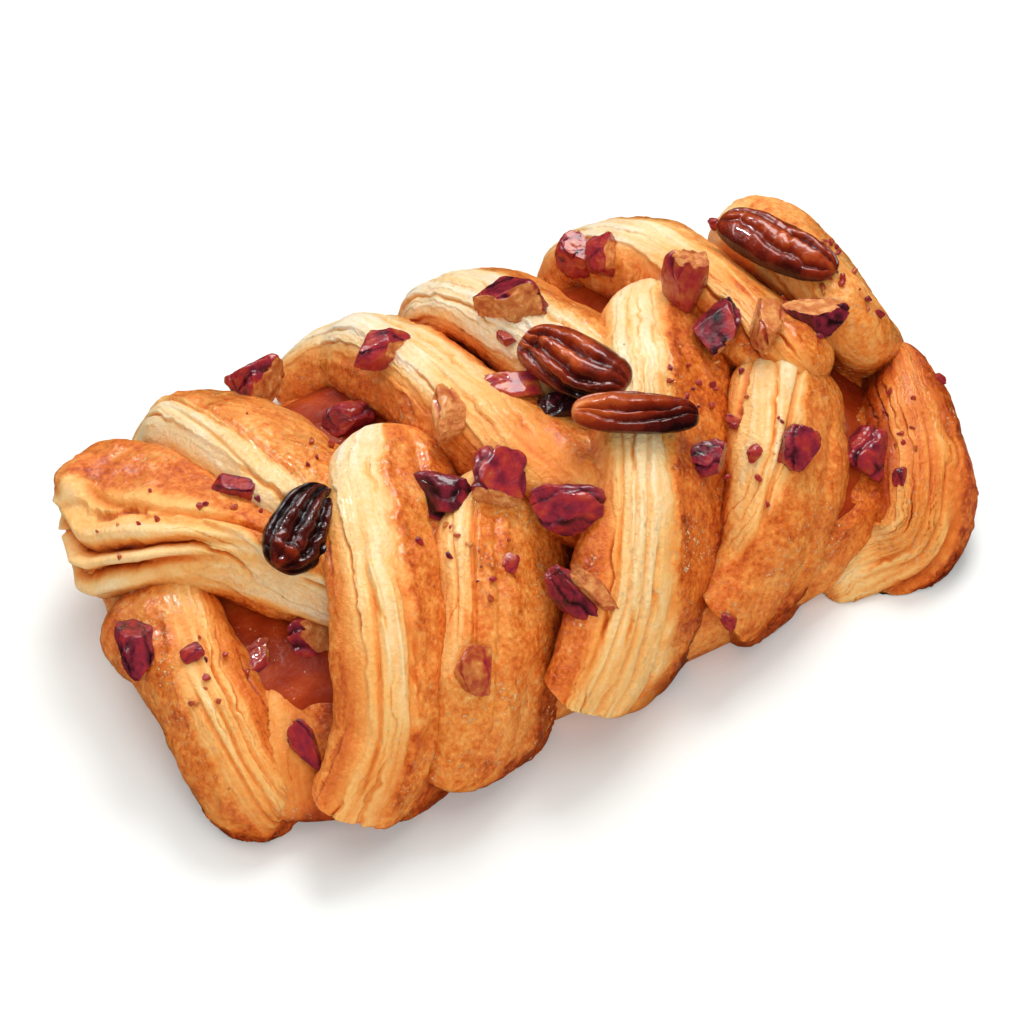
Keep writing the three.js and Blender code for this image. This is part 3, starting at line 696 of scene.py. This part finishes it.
def bed_body():
    """The bed: superelliptic rings, smoothed up its side, with a soft uneven crust."""
    _, x, y = oval(BED_HALF, BED_POWER, BED_ROUND)
    strides = np.hypot(np.diff(BED_HEIGHTS), BED_STRIDE * np.diff(BED_SHARES))
    steps = np.concatenate([[0], np.cumsum(strides)])
    even = np.linspace(0, steps[-1], BED_RINGS)
    share = np.interp(even, steps, BED_SHARES)[:, None]
    height = np.interp(even, steps, BED_HEIGHTS)[:, None]
    grid = np.stack([share * x, share * y + BED_ASIDE, height + 0 * x], axis=-1)
    rise = smoothstep(0.5, 3, grid[..., 2])
    crust = 0.7 * hills(grid, 9, 7, octaves=2) + 0.4 * blisters(grid, 5, 8)
    grid = grid + grid_normals(grid) * (rise * crust)[..., None]
    inner = smoothstep(9, 15, grid[..., 2])
    bake = 0.62 + 0.12 * hills(grid, 8, 9, octaves=3) + 0.06 * (1 - rise) + 0.1 * inner
    return tube(grid, {"bake": bake, "glaze": 0.3 + 0.6 * inner, "cut": 0 * bake})


def filling_finish():
    """Dark glossy caramel, clouded from deep red to amber, with pale specks in patches, partly sugar
    crystals and partly painted glints.
    """
    finish = Finish("caramel", {"Specular IOR Level": 0.15, "Coat Weight": 0.06, "Coat Roughness": 0.08,
                                "Subsurface Weight": 0.1, "Subsurface Radius": (1, 0.4, 0.2),
                                "Subsurface Scale": 0.003})
    tone = finish.noise(110, 4, 0.6)
    stops = [(0.3, screen(126, 32, 12)), (0.5, screen(152, 48, 14)), (0.7, screen(176, 70, 22))]
    colour = finish.colours(tone, stops)
    # Pale specks in patches, partly sugar crystals and partly painted glints in the base colour
    patch = finish.within(0.5, 0.6, finish.noise(140))
    crystal = finish.within(0.66, 0.7, finish.noise(1500, 2, 0.6)) * patch
    colour = finish.mixed(crystal * 0.6, colour, screen(250, 220, 180))
    normal = finish.bumped(finish.noise(300, 4, 0.55), 0.0012, 0.5)
    return finish.show(Base_Color=colour, Roughness=finish.noise(400) * 0.3 + 0.2, Normal=normal)


# The caramel that ran out: half its length and width, the height of its rim, and its rings below
# and above with their points
POOL_HALF, POOL_RIM, POOL_RINGS, POOL_ROUND = (67, 36.5), 14, 70, 240


def caramel_pool():
    """Caramel that ran out over the bed between the strips: rings from its uneven rim, which lies
    down on the bed's shoulder, to its middle, rising in a low dome with lumps, over the same rings
    a little lower."""
    angle, x, y = oval(POOL_HALF, BED_POWER, POOL_ROUND)
    outward = np.linspace(0.02, 1, POOL_RINGS)
    inset = np.concatenate([outward, outward[::-1]])[:, None]
    over = np.repeat([0, 1], POOL_RINGS)[:, None]
    around = np.stack([np.cos(angle), np.sin(angle), 0 * angle], axis=-1)
    reach = inset * (1 + 0.03 * hills(around, 0.3, 33, octaves=2))
    x, y = reach * x, reach * y
    lumps = hills(np.stack([x, y, 0 * x], axis=-1), 9, 31, octaves=3)
    dome = np.clip(1 - inset ** 2, 0, 1)
    level = smoothstep(1, 0.9, inset)
    raised = 0.3 + 1.9 * level + 4.0 * dome + lumps * dome ** 0.5
    z = POOL_RIM + 0.5 * level + over * raised
    return tube(np.stack([x, y, z], axis=-1), {})


# The filling: half its length and width, its outline's power, the heights of its floor and its rim
# and how much its middle stands over the rim, then from floor to top the share of its size and of
# its height, and its rings and their points
FILLING_HALF, FILLING_POWER = (61, 29), 3
FILLING_FLOOR, FILLING_RIM, FILLING_DOME = 7, 14, 7.5
FILLING_SHARES = (0.3, 0.94, 1, 0.88, 0.6, 0.02)
FILLING_RISES = (0, 0, 0.5, 0.82, 0.97, 1)
FILLING_RINGS, FILLING_ROUND = 80, 200


def filling_body():
    """The caramel: a low dome of superelliptic rings, lumpy on top."""
    _, x, y = oval(FILLING_HALF, FILLING_POWER, FILLING_ROUND)
    even = np.linspace(0, 1, FILLING_RINGS)
    share, rise = ramp(FILLING_SHARES, even)[:, None], ramp(FILLING_RISES, even)[:, None]
    x, y = share * x, share * y
    top = FILLING_RIM + FILLING_DOME * np.clip(1 - (x / FILLING_HALF[0]) ** 2, 0, 1)
    grid = np.stack([x, y, FILLING_FLOOR + (top - FILLING_FLOOR) * rise], axis=-1)
    lumps = 0.8 * hills(grid, 8, 21, octaves=2) + 0.5 * blisters(grid, 7, 22)
    grid[..., 2] += lumps * rise
    return tube(grid, {})


# Pecans: size in millimetres, then turn, pitch and roll in degrees, and its tone, from 0 for near
# black through purple, red and brown to 1 for tan. A half then has the angles in radians of the
# furrows along its back and how much brighter its first tip is, and a piece the faces where it
# broke, as (right, up, towards) for who looks at it.
HALVES = {
    "pecan_half_1": ((24, 11.5, 8), (-65, 0, 12), 0.42, (-0.95, -0.3, 0.5), 0),
    "pecan_half_2": ((21.5, 12, 8), (-62, 0, 8), 0.44, (-0.25, 0.4, 0.95), 0.14),
    "pecan_half_3": ((22, 9.5, 8), (-24, 3, -30), 0.46, (-0.55, 0.35, 0.8), 0.32),
    "pecan_half_4": ((18, 11.5, 7.5), (34, 0, 18), 0.17, (-0.9, -0.25, 0.35, 0.9), 0),
}
PIECES = [
    ((10.5, 9, 11), (20, 10, 8), 0.4, [(0.85, -0.35, 0.4)]),
    ((11, 8, 6.5), (-25, 6, 0), 0.46, [(0.8, -0.1, 0.6)]),
    ((9, 8, 6), (10, 0, 12), 0.36, []),
    ((11, 6, 6), (70, 0, 0), 0.8, [(0.4, 0.3, 0.85)]),
    ((13, 10, 7.5), (-20, 0, 6), 0.34, [(0.35, -0.3, 0.88), (-0.45, -0.7, 0.5)]),
    ((7, 8, 8.5), (30, 0, 12), 0.44, []),
    ((6.5, 9, 8), (-10, 8, -6), 0.46, [(0.75, 0.2, 0.6)]),
    ((7.5, 8, 11), (15, 8, 6), 0.5, [(0.1, 0.8, 0.6)]),
    ((12, 9.5, 9), (78, 0, -8), 0.32, [(0.7, -0.7, 0.1)]),
    ((10, 6, 7), (62, 0, 0), 0.78, []),
    ((12, 7.5, 6.5), (-24, 0, 0), 0.2, [(0, 0.8, 0.6)]),
    ((14, 8.5, 7), (-38, -4, 14), 0.24, []),
    ((10.5, 9.5, 8), (58, 0, 4), 0.36, [(0, -0.8, 0.6)]),
    ((13.5, 9, 8), (-30, -6, 8), 0.36, []),
    ((12.5, 6.5, 6.5), (118, 0, 0), 0.34, []),
    ((12, 4, 4), (112, 6, 20), 0.74, [(0.3, 0.2, 0.9), (-0.6, 0.2, 0.75)]),
    ((8.5, 7, 5.5), (60, 0, 0), 0.66, []),
    ((8, 6.5, 5.5), (-12, 0, 0), 0.36, []),
    ((8.5, 7, 5.5), (55, 0, 8), 0.36, []),
    ((10.5, 9.5, 8), (35, 0, 6), 0.36, []),
    ((8.5, 8, 7.5), (25, 0, 0), 0.54, [(0.9, 0.3, 0.3)]),
    ((10, 8.5, 7), (-18, 0, 16), 0.44, [(0.5, 0.3, 0.8)]),
    ((12, 7.5, 6), (75, 0, 20), 0.3, []),
    ((9.5, 4.8, 4.5), (96, 0, 0), 0.34, []),
    ((9, 5, 4), (-48, 0, 0), 0.38, []),
    ((10, 7.5, 5), (-20, 0, 0), 0.52, []),
    ((8.5, 7, 5), (20, 0, 0), 0.04, []),
]
# Bits of pecan: place, length and tone
BITS = [
    (-67.5, -13, 4, 0.4), (-14, -26, 3.6, 0.5), (19, -43.5, 3.6, 0.5), (35, -16, 3, 0.6),
    (34.5, -24, 3.2, 0.5), (60.5, -32, 3.6, 0.3), (21.5, -15, 3, 0.5), (78, -16, 3, 0.4),
    (60.5, 34, 3.6, 0.5), (7.5, 16.5, 3.4, 0.5),
]
# Crumbs in clusters: the middle of each, its reach in millimetres and how many
CRUMBS = [
    (66, -4, 9, 22), (70, 8, 8, 18), (62, 4, 7, 12), (35, -10, 9, 16), (34, -26, 7, 9), (-16, -22, 9, 16),
    (-68, -18, 8, 10), (-50, 2, 7, 6), (-33, 12, 8, 6), (66, -26, 9, 10), (-66, 14, 8, 6), (50, -30, 8, 7),
]
# The height over which crumbs lie, and the crust's steepness under which they stay
CRUMB_LOWEST, CRUMB_STEEPEST = 8, 2.6
# Rings and points round of a piece, a bit and a crumb, then the rings and points of a half
PIECE_POINTS, BIT_POINTS, CRUMB_POINTS = 84, 30, 10
HALF_RINGS, HALF_ROUND = 150, 140

# Where the viewer's right, up and nearness point to
VIEW = np.array([[0.883, -0.469, 0], [0.37, 0.696, 0.616], [-0.289, -0.544, 0.788]])

PIECE_STOPS = [
    (0.0, screen(40, 12, 16)), (0.15, screen(84, 24, 34)), (0.3, screen(132, 34, 50)),
    (0.45, screen(164, 44, 44)), (0.6, screen(172, 72, 40)), (0.8, screen(206, 124, 62)),
    (1.0, screen(238, 176, 108)),
]
HALF_STOPS = [
    (0.0, screen(24, 5, 7)), (0.25, screen(70, 13, 8)), (0.5, screen(132, 36, 10)),
    (0.75, screen(190, 84, 28)), (1.0, screen(232, 150, 84)),
]


def nut_finish(name, stops):
    """Glazed pecan by its tone, rough and grainy where it is broken."""
    finish = Finish(name, {"Specular IOR Level": 0.3, "Coat Roughness": 0.03})
    broken = finish.value("broken")
    grain = finish.noise(900, 4, 0.65) - 0.5
    tone = finish.value("tone") + (finish.noise(420, 4, 0.65) - 0.5) * 0.4 + grain * broken * 0.5
    colour = finish.colours(tone, stops)
    rough = 0.26 + broken * 0.3 + (finish.noise(700) - 0.5) * 0.15
    normal = finish.bumped(finish.noise(800, 4, 0.65), 0.0008, broken * 0.4 + 0.4)
    return finish.show(Base_Color=colour, Roughness=rough, Coat_Weight=0.7 - broken * 0.6, Normal=normal)


def stand(at, turns, place):
    """The rotation that turns, pitches and rolls a nut, then stands it square to the loaf."""
    spine = Vector((min(max(at[0], -SPINE_REACH), SPINE_REACH), 0, NUT_SPINE))
    out = (Vector(place) - spine).normalized()
    turn, pitch, roll = np.radians(turns)
    upright = Vector((0, 0, 1)).rotation_difference(out).to_matrix()
    return np.array(upright @ Euler((roll, pitch, turn), "XYZ").to_matrix())


def node_middle(node):
    """The middle of a node's box, in the strips' frame in millimetres."""
    low, high = (np.array(corner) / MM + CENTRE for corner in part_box(node))
    return (low + high) / 2


def placed(grid, middle, turns, values):
    """A nut's body from its grid, turned as it lies, with the middle of its box at this place."""
    grid = grid @ stand(middle, turns, middle).T
    reach = (grid.min(axis=(0, 1)) + grid.max(axis=(0, 1))) / 2
    return tube(grid - reach + middle, values)


def half_body(middle, size, turns, tone, spots, tip, number):
    """A pecan half: rings along its length shrink to both tips; furrows run down its back, swaying
    a little, fine wrinkles cross them, and its underside is flatter. Its furrows are darker and its
    raised wrinkles lighter, partly its own colour and partly painted shade, and painted shade darkens
    its lower side and lightens its top. Its tone rises by tip towards its first end and falls as much
    towards its second."""
    latitude = np.radians(np.linspace(-89, 89, HALF_RINGS))[:, None]
    longitude = np.linspace(0, 2 * np.pi, HALF_ROUND, endpoint=False)[None]
    girth = np.cos(latitude) ** 0.68
    back = longitude - np.pi / 2
    skin = np.stack([np.sin(latitude) * 6 + 0 * longitude, 2.2 * np.cos(longitude) + 0 * latitude,
                     2.2 * np.sin(longitude) + 0 * latitude], axis=-1)
    sway = (0.14 * np.sin(2.4 * latitude + number)
            + 0.08 * hills(skin * (1, 0, 0), 1.3, 30 + number, octaves=2))
    furrows = sum(np.exp(-(((back - spot - sway * (1 + spot)) / 0.15) ** 2)) for spot in spots)
    furrows = furrows * smoothstep(0, 0.5, np.cos(latitude)) * (0.8 + 0.5 * hills(skin, 2.2, 70 + number))
    wrinkle = hills(skin * (1.2, 0.5, 0.5), 1, 40 + number, octaves=2)
    wrinkle = wrinkle * smoothstep(-0.3, 0.5, hills(skin, 4, 47 + number))
    shape = 1 - 0.42 * furrows + 0.16 * wrinkle + 0.2 * hills(skin, 2.6, 50 + number, octaves=2)
    height = np.sin(longitude)
    grid = np.stack([
        size[0] / 2 * np.sin(latitude) + 0 * longitude,
        size[1] / 2 * girth * np.cos(longitude) * (0.7 + 0.3 * shape),
        size[2] / 2 * girth * np.where(height > 0, height * shape, 0.55 * height),
    ], axis=-1)
    # Furrows darker and wrinkles lighter, partly own colour and partly painted shade; the lower side darker
    # and the top lighter as painted shade and light
    tones = tone - 0.3 * furrows + 0.2 * wrinkle + 0.42 * (height - 0.6) - tip * np.sin(latitude)
    tones = tones + 0.12 * hills(skin, 3, 90 + number)
    return placed(grid, middle, turns, {"tone": tones, "broken": 0 * tones})


def chopped_body(middle, size, turns, tone, faces, number, fineness=PIECE_POINTS):
    """A chopped piece: a rounded, lumpy block with furrows along its skin, cut by planes. What lies
    beyond a plane is pressed onto it: chance planes keep the glazed skin, and the named faces show
    the pale broken flesh."""
    latitude = np.radians(np.linspace(-88, 88, fineness))[:, None]
    longitude = np.linspace(0, 2 * np.pi, fineness, endpoint=False)[None]
    girth = signed_power(np.cos(latitude), 0.55)
    grid = np.stack([
        signed_power(np.sin(latitude), 0.7) + 0 * longitude,
        girth * signed_power(np.cos(longitude), 0.8),
        girth * signed_power(np.sin(longitude), 0.8),
    ], axis=-1)
    draw = np.random.default_rng(500 + number)
    spots = np.pi / 2 + np.array([-0.6, 0.7]) + draw.uniform(-0.4, 0.4, 2)
    sway = 0.5 * hills(grid * (1, 0, 0), 0.8, 80 + number, octaves=2)
    furrows = sum(np.exp(-((longitude - spot - sway) / 0.16) ** 2) for spot in spots)
    ridges = 0.4 - np.abs(hills(grid, 0.55, 90 + number, octaves=3))
    lumpy = 1 + 0.2 * hills(grid, 1.2, 60 + number, octaves=2) + 0.22 * ridges
    grid = grid * (lumpy - 0.16 * furrows)[..., None]
    chance = [(unit(draw.normal(size=3)), draw.uniform(0.6, 0.82), 0) for _ in range(6)]
    turned = stand(middle, turns, middle)
    shown = [(unit((np.array(face) @ VIEW @ turned) * size), 0.5, 1) for face in faces]
    broken = np.zeros(grid.shape[:2])
    for direction, reach, flesh in chance + shown:
        chips = (0.05 + 0.11 * flesh) * hills(grid, 0.4, 110 + number, octaves=4)
        beyond = grid @ direction - reach - chips
        grid = grid - np.maximum(beyond, 0)[..., None] * direction * 0.94
        broken = np.maximum(broken, flesh * smoothstep(0.0, 0.06, beyond))
    grid = grid * (np.array(size) / np.ptp(grid, axis=(0, 1)))
    # The skin is darker in its furrows and lighter on its ridges, partly its own colour and partly painted
    # shade and painted highlight
    skin_tone = (tone - 0.22 * furrows + 0.3 * (ridges - 0.2)
                 + 0.26 * hills(grid, 2.2, 150 + number, octaves=3))
    flesh_tone = 0.8 + 0.16 * hills(grid, 1.2, 170 + number, octaves=2)
    tones = skin_tone * (1 - broken) + flesh_tone * broken
    return placed(grid, middle, turns, {"tone": tones, "broken": broken})


def scattered(tops):
    """Bits of pecan at their places and crumbs strewn in clusters, each sunk a little in the crust
    whose height is in this map."""
    draw = np.random.default_rng(77)
    bodies = []
    for number, (x, y, length, tone) in enumerate(BITS):
        place = np.array([x, y, crust_top(tops, x, y) - 0.35 * steepness(tops, x, y)])
        size = (length, 0.8 * length, 0.7 * length)
        bodies.append(chopped_body(place, size, (50 * number, 0, 0), tone, [], 40 + number, BIT_POINTS))
    for x, y, reach, count in CRUMBS:
        for at_x, at_y in draw.normal(size=(count, 2)) * reach / 2 + (x, y):
            height = crust_top(tops, at_x, at_y)
            if height > CRUMB_LOWEST and steepness(tops, at_x, at_y) < CRUMB_STEEPEST:
                length = draw.uniform(0.7, 1.9)
                size = (length, length * draw.uniform(0.5, 0.9), 0.6 * length)
                turns = draw.uniform(0, 360, 3)
                place = np.array([at_x, at_y, height - 0.25])
                tone, number = draw.uniform(0.3, 0.8), 60 + len(bodies)
                bodies.append(chopped_body(place, size, turns, tone, [], number, CRUMB_POINTS))
    return joined(bodies)


# The table lies this far under the pastry and reaches this far to each side, in metres. The lights
# shine at this point.
TABLE_TOP, TABLE_REACH = -0.0002, 3.0
LIT = (0, 0, 0.02)


def floor_and_light():
    """A white table; a soft key behind to the right, a long window and a small glint behind to the
    left; and a softbox overhead, a fill in front and a pale world, which gloss does not show."""
    mesh = bpy.data.meshes.new("table")
    signs = ((-1, -1), (1, -1), (1, 1), (-1, 1))
    corners = [(x * TABLE_REACH, y * TABLE_REACH, TABLE_TOP) for x, y in signs]
    mesh.from_pydata(corners, [], [(0, 1, 2, 3)])
    table = bpy.data.objects.new("table", mesh)
    finish = Finish("table_white", {"Base Color": (0.9, 0.93, 0.91, 1), "Roughness": 0.9,
                                    "Specular IOR Level": 0.1})
    mesh.materials.append(finish.material)
    bpy.context.scene.collection.objects.link(table)
    table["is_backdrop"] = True
    table.visible_glossy = False

    world = bpy.data.worlds.new("studio")
    world.use_nodes = True
    world.node_tree.nodes["Background"].inputs["Color"].default_value = (1, 0.99, 0.97, 1)
    world.node_tree.nodes["Background"].inputs["Strength"].default_value = 0.3
    world.cycles_visibility.glossy = False
    bpy.context.scene.world = world
    add_light("key", (0.34, 0.42, 0.72), 0.46, 5.0)
    add_light("window", (-0.3, 0.72, 0.6), 0.9, 2.2, 0.1)
    add_light("glint", (-0.2, 0.6, 0.75), 0.09, 2.6).visible_diffuse = False
    add_light("softbox", (0.0, 0.1, 1.1), 1.1, 3.8).visible_glossy = False
    add_light("fill", (-0.18, -0.76, 0.57), 0.8, 4.4).visible_glossy = False
    bpy.context.scene.view_settings.view_transform = "Standard"


def add_light(name, place, size, power, height=None):
    """A disk of light of this size in metres and power in watts, or a rectangle if it has a height,
    turned towards the pastry."""
    data = bpy.data.lights.new(name, "AREA")
    data.shape = "RECTANGLE" if height else "DISK"
    data.size = size
    data.size_y = height or size
    data.energy = power
    light = bpy.data.objects.new(name, data)
    light.location = place
    light.rotation_mode = "QUATERNION"
    light.rotation_quaternion = (Vector(LIT) - Vector(place)).to_track_quat("-Z", "Y")
    bpy.context.scene.collection.objects.link(light)
    return light


# The photograph's view: its angle round from the front and up in degrees, its aim's height and its
# distance from that in mm; the picture's width in pixels, how many of them a millimetre at the aim
# takes, how many the view is shifted down by, and the sensor's width
VIEW_ROUND, VIEW_UP, AIM_HEIGHT, VIEW_DISTANCE = 28, 52, 13, 650
PICTURE, PIXELS_PER_MM, SHIFT_DOWN, SENSOR = 1024, 5.66, 20, 36


def camera():
    """The camera at the photograph's view. Its lens is as long as its sensor times the distance times
    the share of the picture that a millimetre takes."""
    around, up = np.radians(VIEW_ROUND), np.radians(VIEW_UP)
    aim = Vector((-CENTRE[0] * MM, -CENTRE[1] * MM, AIM_HEIGHT * MM))
    back = Vector((-np.sin(around) * np.cos(up), -np.cos(around) * np.cos(up), np.sin(up)))
    data = bpy.data.cameras.new("view")
    data.sensor_width = SENSOR
    data.lens = PIXELS_PER_MM * VIEW_DISTANCE / PICTURE * SENSOR
    data.shift_y = -SHIFT_DOWN / PICTURE
    data.clip_start, data.clip_end = 0.05, 20
    made = bpy.data.objects.new("view", data)
    made.location = aim + back * VIEW_DISTANCE * MM
    made.rotation_mode = "QUATERNION"
    made.rotation_quaternion = (-back).to_track_quat("-Z", "Y")
    bpy.context.scene.collection.objects.link(made)
    bpy.context.scene.camera = made


camera()
floor_and_light()
dough = dough_finish()
crusts = {name: baked_strip(row, number) for number, (name, row) in enumerate(STRIPS.items())}
tops = crust_tops([grid for grid, _ in crusts.values()])
heights = smoothed(tops)
for name, (grid, values) in crusts.items():
    piece(name, tube(grid, pooled(grid, values, heights)), dough, "dough", "dough")
piece("bed", bed_body(), dough, "dough", "dough")
caramel = filling_finish()
piece("caramel", filling_body(), caramel, "filling", "filling")
piece("caramel_run", caramel_pool(), caramel, "filling")
kernel = nut_finish("glazed_kernel", HALF_STOPS)
chunk = nut_finish("chopped_pecan", PIECE_STOPS)
for number, (node, row) in enumerate(HALVES.items()):
    piece(node + "_kernel", half_body(node_middle(node), *row, number), kernel, "pecan", node)
for number, row in enumerate(PIECES):
    node = f"pecan_piece_{number + 1:02d}"
    piece(node + "_chunk", chopped_body(node_middle(node), *row, number), chunk, "pecan", node)
piece("pecan_bits", scattered(tops), chunk, "pecan", "dough")

low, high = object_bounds()
